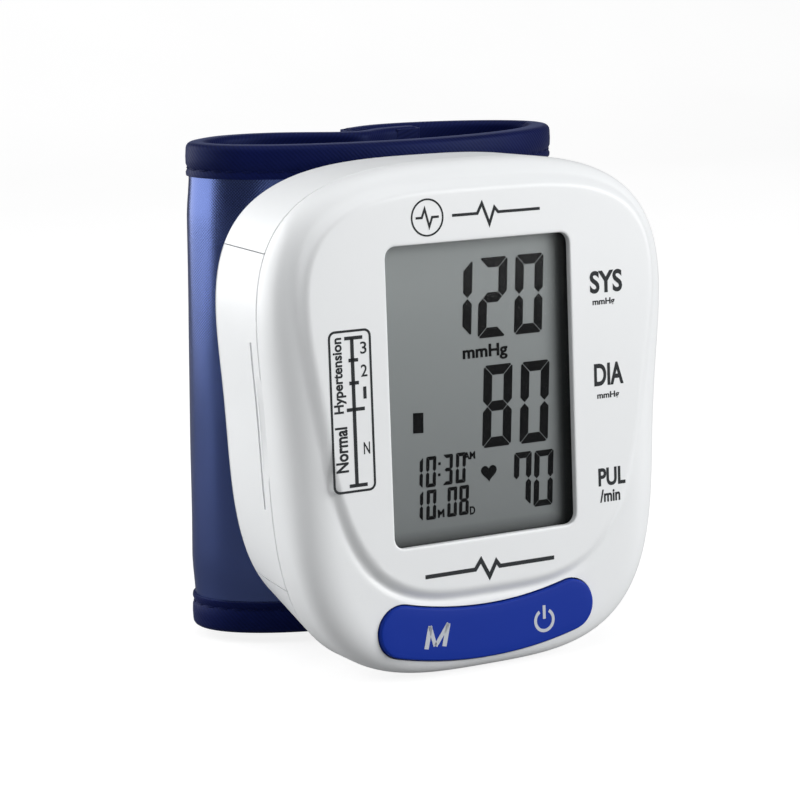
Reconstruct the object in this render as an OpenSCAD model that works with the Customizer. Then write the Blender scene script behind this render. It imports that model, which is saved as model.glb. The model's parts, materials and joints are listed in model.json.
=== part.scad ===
// Wrist blood pressure monitor: a rounded case with a large display, strapped
// behind by a preformed cuff. +Z is up, the display faces -Y, X runs to its right.

/* [Case] */
// Width of the case at mid height
case_w = 65; // [64:0.2:68]
// Height of the case
case_h = 73.3; // [73:0.1:75]
// Depth of the rear case, from its back to the parting line
rear_d = 13.8; // [13.5:0.1:16]
// Depth of the front cover at its foot, from the parting line to the face
front_d = 10.2; // [9.8:0.1:12]
// How far the face leans back, in degrees
lean = 3.6; // [2:0.1:4.5]
// Wall thickness of both shells
wall = 1.7; // [1.5:0.1:2]

/* [Face] */
// Width of the display window
window_w = 30.9; // [28:0.1:32]
// Height of the display window
window_h = 42.8; // [38:0.1:44]
// Height of the window's centre above the case's foot
window_z = 41.1; // [40:0.1:42]
// Width of the button strip across its band
strip_w = 7.6; // [6:0.1:8]

/* [Cuff] */
// Width of the closed cuff loop, outside
loop_w = 61.8; // [58:0.2:68]
// Depth of the closed cuff loop, outside
loop_d = 28.2; // [27:0.2:31]
// Height of the cuff band
cuff_h = 72.7; // [70:0.1:74]
// Height of the cuff's lower rim above the case's foot
cuff_z = 1.4; // [0.5:0.1:2]

/* [Hidden] */
$fn = 48;
eps = 0.01;

// Depth stations, all along Y, with the whole object centred on Y = 0
saddle_gap = 1.25;
foot_round = 0.196;
loop_far = 12.6;
face_foot = -(front_d + rear_d + saddle_gap + loop_d / 2 + loop_far) / 2 - foot_round;
seam_y = face_foot + front_d;
back_y = seam_y + rear_d;
bay_y = back_y - wall;
function face_y(z) = face_foot + z * tan(lean);

// Case outline: a superellipse, rounder at the foot and a little wider at the top
outline_n = 64;
foot_flat = 0.16;
widest_z = 41.4;
top_power = 2.95;
foot_power = 3.25;
case_taper = 0.105;
case_spread = 0.11;
base_drop = 0.8;
edge_in = 4.5;
rim_in = 4.6;
board_in = 5.6;
foot_edge_share = 0.55;
side_straight = 0.05;
foot_straight = 0.5;

// How much smaller the outline is at the back, at the sides, top and foot
draft = [0.25, 0.7, 4.9];

// Plateau around the window, narrower towards its foot
plateau_w = 52.6;
plateau_h = 58.6;
plateau_power = 3.6;
plateau_taper = 0.13;

// Depths behind the face plane of what sits under it
skin = base_drop + 1.4;
lens_d = [0.9, 1.9];
panel_d = [2.2, 3.9];
board_d = [5.2, 6.2];
window_x = -0.9;
lens_lip = 1.3;

// Button strip: an arc band with round ends, rocking on a vertical pivot
strip_x = -0.9;
strip_z = 5.9;
strip_r = 60;
strip_half_angle = 13.9;
strip_gap = 0.35;
strip_d = [0.25, 1.75];
slot_d = 2.7;
pivot_d = 3.9;
pivot_r = 0.8;
running = 0.05;
foot_x = 13;
foot_z = 8.3;

// Screw bosses that join the two shells, left and right, low and high
boss_at = [[-14, 13.9], [17.5, 14.2], [-22.5, 65.6], [22.5, 65.6]];
boss_r = 2.2;
post_x = [-24, 23];
post_z = [29, 55];

// Battery bay: two AAA cells standing side by side behind the door
cell_r = 5.2;
cell_x = [-22.1, -11.4];
cell_y = bay_y - 0.2 - cell_r;
cell_z = 17.9;
cell_h = 43.7;
bay_wall_x = -5.5;
bay_edge_x = -25.5;
door_z = [13.5, 61.8];
door_edge_x = -24.6;
door_gap = 0.15;
door_back_y = back_y - 1.6;

// Air system, in the right half of the rear case
air_y = bay_y - 5.75;
motor_x = 20;
motor_r = 6;
motor_z = [44, 60];
shaft_r = 0.75;
valve_x = 5.5;
valve_z = [28, 42];
manifold_z = [12, 22];
port_z = 17;
hose_r = 2;
hose_bore = 1.2;
bend_r = 6;
lead_r = 0.5;
lead_bend = 3;

// Cuff: distances of each layer in from the loop's outer ellipse
loop_x = 2.5;
loop_y = back_y + saddle_gap + loop_d / 2;
hem_t = [0, 0.4];
cover_t = [0.45, 0.95];
plate_t = [1.0, 1.7];
bladder_t = [1.75, 2.75];
lining_t = [2.8, 3.3];
flap_pad_t = [1.0, 1.9];
flap_lining_t = [1.95, 2.35];
hook_t = [2.4, 3.0];
loop_t = [-0.6, -0.05];
wing_pad_t = [1.0, 2.3];
wing_lining_t = [2.35, 2.8];
wing_drop = 4.6;
wing_drop_from = 142;
wing_drop_to = 92;
wing_end = 68;
flap_end = 89;
joint_half_gap = 0.6;
hem_h = [4.6, 5.8];
core_margin = 3;
saddle_x = [-18, 22];
saddle_z = [11, 65];
clamp_at = [[-2.5, 60], [9.5, 62], [-2.5, 24], [11.5, 24]];

white = [0.93, 0.94, 0.95];
navy = [0.05, 0.08, 0.25];

// ---- outlines and shared shapes ----

// Superellipse points: half width a, half heights above and below centre height c.
// The width changes with height by taper and, at both ends, by spread.
function blob(a, b_top, b_foot, c, taper, spread, p_top, p_foot) =
    [for (i = [0:outline_n - 1])
        let(t = 360 * i / outline_n,
            up = sin(t) >= 0,
            p = up ? p_top : p_foot,
            b = up ? b_top : b_foot,
            r = pow(pow(abs(cos(t)) / a, p) + pow(abs(sin(t)) / b, p), -1 / p),
            z = r * sin(t),
            u = 2 * z / (b_top + b_foot))
        [r * cos(t) * (1 + taper * u + spread * u * u), z + c]];

// The case's outline, pulled in by inset all round and by edge at a rounded rim,
// at a share back of the way from the parting line to the back
function case_outline(inset, back = 0, edge = 0) = [for (p = blob(
    case_w / 2 - inset - edge - draft[0] * back,
    case_h - widest_z - inset - edge - draft[1] * back,
    widest_z + foot_flat - inset - edge * foot_edge_share - draft[2] * back,
    widest_z, case_taper, case_spread, top_power, foot_power)) [p[0], max(p[1], 0)]];

function plateau_outline(inset) =
    blob(plateau_w / 2 - inset, plateau_h / 2 - inset, plateau_h / 2 - inset, window_z,
        plateau_taper, 0, plateau_power, plateau_power);

function ease(t) = t <= 0 ? 0 : t >= 1 ? 1 : t * t * (3 - 2 * t);

// A ring of the front cover's rounded rim, at a share s from its start to the face
function front_ring(s) =
    let(outline = case_outline(0, 0, edge_in * (1 - sqrt(1 - s * s))))
    [for (i = [0:outline_n - 1])
        let(p = outline[i],
            foot = ease((-sin(360 * i / outline_n) - 0.2) / 0.6),
            start = side_straight + (foot_straight - side_straight) * foot,
            f = start + (1 - start) * s)
        [p[0], seam_y + f * (face_y(p[1]) + base_drop - seam_y), p[1]]];

function parting_ring() = [for (p = case_outline(0)) [p[0], seam_y, p[1]]];

// A ring of the rear case at depth y
function rear_ring(y, inset) =
    [for (p = case_outline(inset, (y - seam_y) / rear_d)) [p[0], y, p[1]]];

// Solid skin over rings that run from back to front
module loft(rings) {
    n = outline_n;
    last = len(rings) - 1;
    points = [for (r = rings) each r];
    sides = [for (k = [0:last - 1], i = [0:n - 1])
        let(j = (i + 1) % n, a = k * n, b = (k + 1) * n)
        each [[b + i, b + j, a + j], [b + i, a + j, a + i]]];
    back_cap = [[for (i = [0:n - 1]) i]];
    front_cap = [[for (i = [n - 1:-1:0]) last * n + i]];
    polyhedron(points = points, faces = concat(sides, back_cap, front_cap));
}

// A box given by its low and high corners
module span(lo, hi) {
    translate(lo)
        cube(hi - lo);
}

// A flat shape drawn in X and Z, running from y0 to y1
module through_y(y0, y1) {
    translate([0, y1, 0])
        rotate([90, 0, 0])
            linear_extrude(y1 - y0)
                children();
}

module cylinder_y(x, z, y0, y1, r) {
    translate([x, y1, z])
        rotate([90, 0, 0])
            cylinder(h = y1 - y0, r = r);
}

// The leaning frame of the face: Y is the depth behind it, Z runs up along it
module on_face() {
    translate([0, face_foot, 0])
        rotate([-lean, 0, 0])
            children();
}

module rounded(w, h, r) {
    square([w - 2 * r, h], center = true);
    square([w, h - 2 * r], center = true);
    for (x = [-1, 1], y = [-1, 1])
        translate([x * (w / 2 - r), y * (h / 2 - r)])
            circle(r = r);
}

module window_plate(grow, r, d) {
    on_face()
        through_y(d[0], d[1])
            translate([window_x, window_z])
                rounded(window_w + grow, window_h + grow, r);
}

module strip_shape(grow) {
    reach = 2 * strip_r;
    translate([strip_x, strip_z + strip_r]) {
        intersection() {
            difference() {
                circle(r = strip_r + strip_w / 2 + grow, $fn = 96);
                circle(r = strip_r - strip_w / 2 - grow, $fn = 96);
            }
            polygon([[0, 0],
                [-reach * sin(strip_half_angle), -reach * cos(strip_half_angle)],
                [reach * sin(strip_half_angle), -reach * cos(strip_half_angle)]]);
        }
        for (side = [-1, 1])
            rotate(side * strip_half_angle)
                translate([0, -strip_r])
                    circle(r = strip_w / 2 + grow);
    }
}

module at_bosses() {
    for (p = boss_at)
        translate([p[0], 0, p[1]])
            children();
}

// ---- shells ----

module front_cover() {
    color(white)
        difference() {
            union() {
                difference() {
                    union() {
                        front_shape();
                        plateau();
                    }
                    front_cavity();
                }
                front_bosses();
                for (x = post_x, z = post_z)
                    on_face()
                        cylinder_y(x, z, skin - 0.4, board_d[0], 2);
                on_face()
                    span([-3, skin - 0.4, strip_z + 4.9], [3, pivot_d + 1.1, strip_z + 6.9]);
            }
            window_plate(0, 1.6, [-1, 3]);
            window_plate(2 * lens_lip + 0.3, 2, [lens_d[0], 3]);
            on_face()
                through_y(-1, slot_d)
                    strip_shape(strip_gap);
            on_face()
                translate([0, pivot_d, strip_z - 4.9])
                    cylinder(h = 13, r = pivot_r + running);
            at_bosses()
                cylinder_y(0, 0, seam_y - 4, seam_y + 1, 1);
            for (x = post_x, z = post_z)
                on_face()
                    cylinder_y(x, z, skin, board_d[0] + 1, 0.85);
        }
}

module front_shape() {
    loft(concat([parting_ring()], [for (s = [0, 0.5, 0.8, 0.95, 1]) front_ring(s)]));
}

module plateau() {
    on_face()
        loft([for (s = [[base_drop + 0.3, 0], [base_drop, 0], [0, 1.3]])
            [for (p = plateau_outline(s[1])) [p[0], s[0], p[1]]]]);
}

module front_cavity() {
    through_y(seam_y - 4, seam_y + 1)
        polygon(case_outline(wall + 0.3));
    intersection() {
        through_y(face_foot - 2, seam_y + 1)
            polygon(case_outline(rim_in));
        on_face()
            span([-60, skin, -20], [60, 60, 120]);
    }
}

module front_bosses() {
    for (p = boss_at)
        cylinder_y(p[0], p[1], face_y(p[1]) + skin - 0.4, seam_y, boss_r);
}

module rear_case() {
    color(white)
        difference() {
            union() {
                difference() {
                    rear_shape();
                    rear_hollow(wall, bay_y);
                }
                at_bosses()
                    cylinder_y(0, 0, seam_y + 0.05, back_y - 0.5, boss_r);
                bay_walls();
            }
            door_opening();
            at_bosses()
                screw_hole();
            for (p = clamp_at)
                cylinder_y(p[0], p[1], bay_y - 1, back_y + 1, 1.15);
            cylinder_y(valve_x, port_z, bay_y - 1, back_y + 1, hose_r + 0.2);
        }
}

module rear_shape() {
    loft([rear_ring(back_y, 1.6), rear_ring(back_y - 0.5, 0.55),
        rear_ring(back_y - 1.6, 0), rear_ring(seam_y + 0.05, 0)]);
}

// The space inside the flank, a wall thickness in, from the parting line to depth y
module rear_hollow(inset, y) {
    loft([rear_ring(y, inset), rear_ring(seam_y - 1, inset)]);
}

// The walls that hold the cells, and close the bay off from the electronics
module bay_walls() {
    top = cell_z + cell_h + 1.5;
    foot = cell_z - 2.6;
    front = cell_y - 3;
    span([bay_wall_x - 0.5, front, foot], [bay_wall_x + 0.5, bay_y + 0.2, top + 0.8]);
    span([bay_edge_x, front, foot], [bay_wall_x, bay_y + 0.2, foot + 0.8]);
    span([bay_edge_x, front, top], [bay_wall_x, bay_y + 0.2, top + 0.8]);
}

module door_opening() {
    span([-50, seam_y - 1, door_z[0] - door_gap],
        [door_edge_x + door_gap, door_back_y + door_gap, door_z[1] + door_gap]);
}

module screw_hole() {
    cylinder_y(0, 0, seam_y - 1, back_y + 1, 1.1);
    cylinder_y(0, 0, back_y - 1.9, back_y + 1, 2.1);
}

module battery_door() {
    color(white)
        difference() {
            intersection() {
                difference() {
                    rear_shape();
                    rear_hollow(1.6, back_y + 1);
                }
                span([-50, seam_y + 0.15, door_z[0]],
                    [door_edge_x, door_back_y, door_z[1]]);
            }
            nail_notch();
        }
}

// A shallow scoop for the fingernail, on the door's front edge
module nail_notch() {
    scoop_r = 20;
    cylinder_y(-case_w / 2 - scoop_r, 36, seam_y - 1, seam_y + 1.6, scoop_r);
}

module door_pad() {
    color("dimgray")
        intersection() {
            rear_hollow(1.65, cell_y + 3);
            span([-40, cell_y - 3, 34], [cell_x[0] - cell_r - 0.4, cell_y + 3, 56]);
        }
}

// ---- button strip ----

module button_strip() {
    color([0.09, 0.2, 0.6])
        on_face() {
            through_y(strip_d[0], strip_d[1])
                strip_shape(0);
            span([-2.4, strip_d[1] - 0.1, strip_z - 0.9], [2.4, pivot_d + 1, strip_z + 4]);
            for (side = [-1, 1])
                cylinder_y(side * foot_x, foot_z, strip_d[1] - 0.1, 3.1, 1.2);
            translate([0, pivot_d, strip_z - 4.5])
                cylinder(h = 11.2, r = pivot_r);
        }
}

module tact_switch(side) {
    on_face() {
        span([side * foot_x - 2, 3.95, foot_z - 1.8],
            [side * foot_x + 2, board_d[0], foot_z + 1.8]);
        cylinder_y(side * foot_x, foot_z, 3.65, 4, 1);
    }
}

module memory_switch() {
    color("silver")
        tact_switch(-1);
}

module power_switch() {
    color("silver")
        tact_switch(1);
}

// ---- display ----

module lcd_lens() {
    color([0.75, 0.8, 0.8, 0.5])
        window_plate(2 * lens_lip, 1.8, lens_d);
}

module lcd_panel() {
    color([0.5, 0.53, 0.53])
        window_plate(3, 0.4, panel_d);
}

module lcd_frame() {
    color("white")
        difference() {
            window_plate(5.6, 1, [lens_d[1] + 0.1 + 0.2, board_d[0]]);
            window_plate(3.3, 0.5, [0, board_d[0] + 1]);
        }
}

module zebra_connector() {
    color("dimgray")
        on_face()
            span([window_x - 14, panel_d[1], window_z - window_h / 2 - 0.6],
                [window_x + 14, board_d[0], window_z - window_h / 2 + 1.6]);
}

module main_board() {
    color([0.1, 0.4, 0.2])
        on_face()
            difference() {
                through_y(board_d[0], board_d[1])
                    polygon(case_outline(board_in));
                at_bosses()
                    cylinder_y(0, 0, 0, 10, boss_r + 0.6);
                for (x = post_x, z = post_z)
                    cylinder_y(x, z, 0, 10, 0.85);
            }
}

// A chip or other small block on the back of the board
module on_board(x, z, w, h, t) {
    on_face()
        span([x - w / 2, board_d[1], z - h / 2], [x + w / 2, board_d[1] + t, z + h / 2]);
}

module mcu_chip() {
    color("black")
        on_board(0, 48, 9, 9, 0.9);
}

module crystal() {
    color("silver")
        on_board(8.5, 47, 3, 1.4, 0.9);
}

module buzzer() {
    color("black")
        on_face()
            difference() {
                cylinder_y(3, 60.5, board_d[1], board_d[1] + 2, 4.8);
                cylinder_y(3, 60.5, board_d[1] + 1, board_d[1] + 3, 1);
            }
}

module board_screws() {
    color("silver")
        for (x = post_x, z = post_z)
            on_face() {
                cylinder_y(x, z, skin + 0.4, board_d[1] + eps, 0.8);
                cylinder_y(x, z, board_d[1], board_d[1] + 0.9, 1.6);
            }
}

// ---- air system ----

module pressure_sensor() {
    back = face_y(port_z) + board_d[1];
    color("lightgray") {
        on_board(valve_x, port_z, 7, 7, 2.8);
        difference() {
            cylinder_y(valve_x, port_z, back + 2.5, air_y - 4.6, hose_bore - 0.05);
            cylinder_y(valve_x, port_z, back + 3.3, air_y, 0.5);
        }
    }
}

module pump_motor() {
    color("silver")
        difference() {
            translate([motor_x, air_y, motor_z[0]]) {
                cylinder(h = motor_z[1] - motor_z[0] - 0.8, r = motor_r - 0.3);
                cylinder(h = motor_z[1] - motor_z[0], r = 2.2);
            }
            translate([motor_x, air_y, motor_z[0] - 1])
                cylinder(h = 12, r = shaft_r + running);
        }
}

module pump_head() {
    color("white")
        difference() {
            union() {
                span([motor_x - 6.5, air_y - 5.6, 24], [motor_x + 6.5, air_y + 5.4, motor_z[0]]);
                translate([valve_x + 5 + bend_r, air_y, 22.6])
                    cylinder(h = 1.6, r = hose_bore - 0.05);
            }
            translate([motor_x, air_y, 33])
                cylinder(h = 20, r = 5);
            translate([valve_x + 5 + bend_r, air_y, 22])
                cylinder(h = 8, r = 0.5);
        }
}

module pump_diaphragm() {
    color("dimgray")
        translate([motor_x, air_y, 33]) {
            cylinder(h = 1.2, r = 4.9);
            cylinder(h = 3, r = 2);
        }
}

module motor_shaft() {
    color("silver")
        translate([motor_x, air_y, 38])
            cylinder(h = motor_z[0] - 38 + 10, r = shaft_r);
}

module pump_eccentric() {
    color("ivory")
        difference() {
            translate([motor_x + 0.9, air_y, 38.4])
                cylinder(h = 4, r = 3.2);
            translate([motor_x, air_y, 37])
                cylinder(h = 7, r = shaft_r + eps);
        }
}

module valve_body() {
    color("gray")
        difference() {
            translate([valve_x, air_y, valve_z[0]]) {
                cylinder(h = valve_z[1] - valve_z[0], r = 4);
                cylinder(h = 1, r = 4.8);
                translate([0, 0, valve_z[1] - valve_z[0] - 1])
                    cylinder(h = 1, r = 4.8);
            }
            translate([valve_x, air_y, valve_z[0] - 1])
                cylinder(h = 10, r = 1.25);
        }
}

module valve_plunger() {
    color("silver")
        translate([valve_x, air_y, manifold_z[1] + 1]) {
            cylinder(h = 10, r = 1.2);
            cylinder(h = 1.6, r = 2);
        }
}

module air_manifold() {
    barb_r = hose_bore - 0.05;
    color("ivory")
        difference() {
            union() {
                span([valve_x - 4, air_y - 3.5, manifold_z[0]],
                    [valve_x + 4, air_y + 3.5, manifold_z[1]]);
                translate([valve_x + 3.5, air_y, port_z])
                    rotate([0, 90, 0])
                        cylinder(h = 2, r = barb_r);
                cylinder_y(valve_x, port_z, air_y - 4.3, air_y - 3, barb_r);
                translate([valve_x, air_y, manifold_z[1] - 0.1])
                    cylinder(h = 0.3, r = 1.6);
            }
            translate([valve_x, air_y, port_z])
                cylinder(h = 8, r = 0.6);
            translate([valve_x, air_y, port_z])
                rotate([0, 90, 0])
                    cylinder(h = 8, r = 0.5);
            cylinder_y(valve_x, port_z, air_y - 6, air_y + 5, 0.5);
        }
}

// Quarter bend of hose from the manifold's side port up to the pump's foot
module pump_tube() {
    color([0.85, 0.85, 0.8])
        translate([valve_x + 5, air_y, port_z + bend_r])
            rotate([90, 0, 0])
                rotate([0, 0, -90])
                    rotate_extrude(angle = 90)
                        translate([bend_r, 0])
                            difference() {
                                circle(r = hose_r);
                                circle(r = hose_bore);
                            }
}

module sensor_tube() {
    back = face_y(port_z) + board_d[1];
    color([0.85, 0.85, 0.8])
        difference() {
            cylinder_y(valve_x, port_z, back + 3.3, air_y - 3.6, hose_r);
            cylinder_y(valve_x, port_z, back, air_y, hose_bore);
        }
}

module air_nipple() {
    color("ivory")
        difference() {
            union() {
                cylinder_y(valve_x, port_z, air_y + 3.5, back_y + saddle_gap + bladder_t[1] - 0.3,
                    hose_r - 0.1);
                cylinder_y(valve_x, port_z, air_y + 3.5, air_y + 4.5, 3);
            }
            cylinder_y(valve_x, port_z, 0.1 + air_y, 10, 0.9);
        }
}

// ---- power ----

module cell(x) {
    translate([x, cell_y, cell_z]) {
        color([0.15, 0.3, 0.2])
            cylinder(h = cell_h, r = cell_r);
        color("silver")
            cylinder(h = cell_h + 0.8, r = 1.9);
    }
}

module battery_outer() {
    cell(cell_x[0]);
}

module battery_inner() {
    cell(cell_x[1]);
}

// A coil of wire, narrowing upwards, standing on the bay's foot contact
module coil(x) {
    wire = 0.2;
    turns = 2;
    rings = 24;
    sides = 6;
    points = [for (k = [0:rings - 1]) let(t = k / (rings - 1), r = 3.4 - 1.6 * t, a = 360 * turns * t)
        each [for (s = [0:sides - 1]) let(u = 360 * s / sides, q = r + wire * cos(u))
            [q * cos(a), q * sin(a), t * (1.2 - 2 * wire) + wire + wire * sin(u)]]];
    sheath = [for (k = [0:rings - 2], s = [0:sides - 1])
        let(n = (s + 1) % sides, a = k * sides, b = a + sides)
        each [[a + s, b + n, a + n], [a + s, b + s, b + n]]];
    ends = [[for (s = [0:sides - 1]) s],
        [for (s = [sides - 1:-1:0]) (rings - 1) * sides + s]];
    translate([x, cell_y, cell_z - 1.25])
        polyhedron(points = points, faces = concat(sheath, ends));
}

module battery_springs() {
    color("silver")
        for (x = cell_x)
            coil(x);
}

module battery_contacts() {
    top = cell_z + cell_h + 0.85;
    color("silver") {
        for (x = cell_x)
            span([x - 4, cell_y - 3, cell_z - 1.75], [x + 4, cell_y + 4, cell_z - 1.3]);
        span([cell_x[0] - 3.5, cell_y - 3, top], [cell_x[1] + 4, cell_y + 4, top + 0.45]);
    }
}

// Each lead leaves the motor's cap upwards, bends forward and meets the board
module motor_leads() {
    top = motor_z[1] - 0.75;
    reach_z = top + lead_bend;
    color("crimson")
        for (x = [-3.6, 3.6]) {
            translate([motor_x + x, air_y - lead_bend, top])
                rotate([0, -90, 0])
                    rotate_extrude(angle = 90)
                        translate([lead_bend, 0])
                            circle(r = lead_r);
            cylinder_y(motor_x + x, reach_z, face_y(reach_z) + board_d[1] + 0.2,
                air_y - lead_bend + eps, lead_r);
        }
}

// Straight tabs from the bay's foot contacts to the board
module battery_leads() {
    color("crimson")
        for (x = cell_x)
            cylinder_y(x + 1, cell_z - 1.5, face_y(cell_z) + board_d[1] + 0.3,
                cell_y - 3.1, lead_r);
}

// ---- fasteners ----

module case_screws() {
    color("silver")
        at_bosses() {
            cylinder_y(0, 0, seam_y - 3.6, back_y - 1.2, 0.95);
            difference() {
                cylinder_y(0, 0, back_y - 1.85, back_y - 0.55, 1.9);
                span([-1.3, back_y - 1, -0.25], [1.3, back_y, 0.25]);
                span([-0.25, back_y - 1, -1.3], [0.25, back_y, 1.3]);
            }
        }
}

module clamp_screws() {
    color("silver")
        for (p = clamp_at)
            translate([p[0], 0, p[1]]) {
                cylinder_y(0, 0, bay_y - 0.1, back_y + saddle_gap + plate_t[0] + 0.9, 0.95);
                cylinder_y(0, 0, bay_y - 1.2, bay_y - 0.05, 1.8);
            }
}

// ---- cuff ----

function loop_point(t, depth) =
    let(a = loop_w / 2, b = sin(t) > 0 ? loop_far : loop_d / 2,
        u = cos(t) / a, v = sin(t) / b, m = sqrt(u * u + v * v))
    [loop_x + a * cos(t) - depth * u / m, loop_y + b * sin(t) - depth * v / m];

// How far the wing has moved in from the loop, to pass under the flap
function wing_in(t) = wing_drop * ease((wing_drop_from - t) / (wing_drop_from - wing_drop_to));

// A bent layer from angle t0 to t1, z0 to z1, between two depths
module layer(t0, t1, depths, z0, z1, tucked = false) {
    steps = 30;
    angles = [for (i = [0:steps]) t0 + (t1 - t0) * i / steps];
    shift = [for (t = angles) tucked ? wing_in(t) : 0];
    outer = [for (i = [0:steps]) loop_point(angles[i], depths[0] + shift[i])];
    inner = [for (i = [steps:-1:0]) loop_point(angles[i], depths[1] + shift[i])];
    translate([0, 0, z0])
        linear_extrude(z1 - z0)
            polygon(concat(outer, inner));
}

module front_layer(depths, margin) {
    layer(180 + joint_half_gap, 360 - joint_half_gap, depths,
        cuff_z + margin, cuff_z + cuff_h - margin);
}

module wing_layer(depths, margin, from = wing_end) {
    layer(from, 180 - joint_half_gap, depths,
        cuff_z + margin, cuff_z + cuff_h - margin, true);
}

module flap_layer(depths, margin, to = flap_end) {
    layer(joint_half_gap, to, depths, cuff_z + margin, cuff_z + cuff_h - margin);
}

module cuff_holes(r) {
    for (p = clamp_at)
        cylinder_y(p[0], p[1], back_y, loop_y, r);
    cylinder_y(valve_x, port_z, back_y, loop_y, hose_r + 0.1);
}

module cuff_saddle() {
    step = 2;
    back_edge = [for (x = [saddle_x[0]:step:saddle_x[1]])
        let(t = -acos((x - loop_x) / (loop_w / 2)))
        [x, loop_y + loop_d / 2 * sin(t) + cover_t[0] - 0.1]];
    color(white)
        difference() {
            translate([0, 0, saddle_z[0]])
                linear_extrude(saddle_z[1] - saddle_z[0])
                    polygon(concat(back_edge, [[saddle_x[1], back_y + 0.02],
                        [saddle_x[0], back_y + 0.02]]));
            cuff_holes(1.15);
            for (p = clamp_at)
                cylinder_y(p[0], p[1], back_y - 1, loop_y, 1.15);
            cylinder_y(valve_x, port_z, back_y - 1, loop_y, hose_r + 0.1);
        }
}

module cuff_plate() {
    color("dimgray")
        difference() {
            front_layer(plate_t, core_margin);
            cuff_holes(1);
        }
}

module bladder() {
    color([0.2, 0.25, 0.35])
        difference() {
            front_layer(bladder_t, core_margin + 1);
            cuff_holes(1.2);
        }
}

module cuff_cover() {
    color(navy)
        difference() {
            front_layer(cover_t, 0);
            cuff_holes(1.15);
        }
}

module cuff_lining() {
    color(navy * 0.7)
        front_layer(lining_t, 0);
}

module hems(t0, t1, tucked) {
    layer(t0, t1, hem_t, cuff_z, cuff_z + hem_h[0], tucked);
    layer(t0, t1, hem_t, cuff_z + cuff_h - hem_h[1], cuff_z + cuff_h, tucked);
}

module cuff_hems() {
    color(navy)
        hems(180 + joint_half_gap, 360 - joint_half_gap, false);
}

module wing_cover() {
    color(navy)
        wing_layer(cover_t, 0);
}

module wing_pad() {
    color([0.2, 0.25, 0.35])
        wing_layer(wing_pad_t, core_margin, wing_end + 2);
}

module wing_lining() {
    color(navy * 0.7)
        wing_layer(wing_lining_t, 0);
}

module wing_hems() {
    color(navy)
        hems(wing_end, 180 - joint_half_gap, true);
}

module loop_patch() {
    color([0.1, 0.1, 0.12])
        layer(wing_end + 1, flap_end - 1, loop_t, cuff_z + 8, cuff_z + cuff_h - 8, true);
}

module flap_cover() {
    color(navy)
        flap_layer(cover_t, 0);
}

module flap_pad() {
    color([0.2, 0.25, 0.35])
        flap_layer(flap_pad_t, core_margin, flap_end - 2);
}

module flap_lining() {
    color(navy * 0.7)
        flap_layer(flap_lining_t, 0);
}

module flap_hems() {
    color(navy)
        hems(joint_half_gap, flap_end, false);
}

module hook_patch() {
    color([0.1, 0.1, 0.12])
        layer(wing_end - 6, flap_end - 2, hook_t, cuff_z + 8, cuff_z + cuff_h - 8);
}

front_cover();
rear_case();
battery_door();
door_pad();
button_strip();
lcd_lens();
lcd_panel();
lcd_frame();
zebra_connector();
main_board();
mcu_chip();
crystal();
buzzer();
memory_switch();
power_switch();
pressure_sensor();
pump_motor();
pump_head();
pump_diaphragm();
motor_shaft();
pump_eccentric();
valve_body();
valve_plunger();
air_manifold();
pump_tube();
sensor_tube();
air_nipple();
battery_outer();
battery_inner();
battery_springs();
battery_contacts();
case_screws();
board_screws();
motor_leads();
battery_leads();
cuff_saddle();
clamp_screws();
cuff_plate();
bladder();
cuff_cover();
cuff_lining();
cuff_hems();
wing_cover();
wing_pad();
wing_lining();
wing_hems();
loop_patch();
flap_cover();
flap_pad();
flap_lining();
flap_hems();
hook_patch();
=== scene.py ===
import json
import math
import bmesh
import bpy
import numpy as np
from mathutils import Matrix, Vector, noise


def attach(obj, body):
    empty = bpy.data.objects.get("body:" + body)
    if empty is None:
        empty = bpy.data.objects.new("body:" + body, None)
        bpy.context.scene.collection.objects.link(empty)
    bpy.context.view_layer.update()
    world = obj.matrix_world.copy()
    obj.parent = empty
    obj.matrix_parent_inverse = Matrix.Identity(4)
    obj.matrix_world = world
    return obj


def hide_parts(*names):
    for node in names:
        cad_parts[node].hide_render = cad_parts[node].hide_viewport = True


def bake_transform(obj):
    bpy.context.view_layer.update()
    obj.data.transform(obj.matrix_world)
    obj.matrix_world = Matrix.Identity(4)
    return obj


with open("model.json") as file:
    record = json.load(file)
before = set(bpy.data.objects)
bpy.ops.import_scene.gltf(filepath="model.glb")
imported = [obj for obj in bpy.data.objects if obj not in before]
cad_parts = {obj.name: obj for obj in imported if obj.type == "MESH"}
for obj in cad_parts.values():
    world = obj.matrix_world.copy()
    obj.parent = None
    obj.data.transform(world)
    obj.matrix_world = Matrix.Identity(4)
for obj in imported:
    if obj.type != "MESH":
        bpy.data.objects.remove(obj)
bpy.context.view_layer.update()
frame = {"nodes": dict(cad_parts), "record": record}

# ---------------------------------------------------------------- sizes, in mm
LEAN = math.radians(3.6)
CASE_W, CASE_H, FRONT_D, REAR_D, WALL = 65.0, 73.3, 10.2, 13.8, 1.7
WINDOW_W, WINDOW_H, WINDOW_X, WINDOW_Z = 30.9, 42.8, -0.9, 41.1
SADDLE_GAP, FOOT_ROUND = 1.25, 0.196
LOOP_W, LOOP_D, LOOP_FAR, LOOP_X = 61.8, 28.2, 12.6, 2.5
CUFF_Z, CUFF_H = 1.4, 72.7
CUFF_TOP = CUFF_Z + CUFF_H
FACE_FOOT = -(FRONT_D + REAR_D + SADDLE_GAP + LOOP_D / 2 + LOOP_FAR) / 2 - FOOT_ROUND
SEAM_Y = FACE_FOOT + FRONT_D
BACK_Y = SEAM_Y + REAR_D
BAY_Y = BACK_Y - WALL
LOOP_Y = BACK_Y + SADDLE_GAP + LOOP_D / 2
WIDEST_Z, FOOT_FLAT, TOP_POWER, FOOT_POWER = 41.4, 0.16, 2.95, 3.25
TAPER, SPREAD, BASE_DROP = 0.105, 0.11, 0.8
DRAFT = (0.25, 0.7, 4.9)
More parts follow.
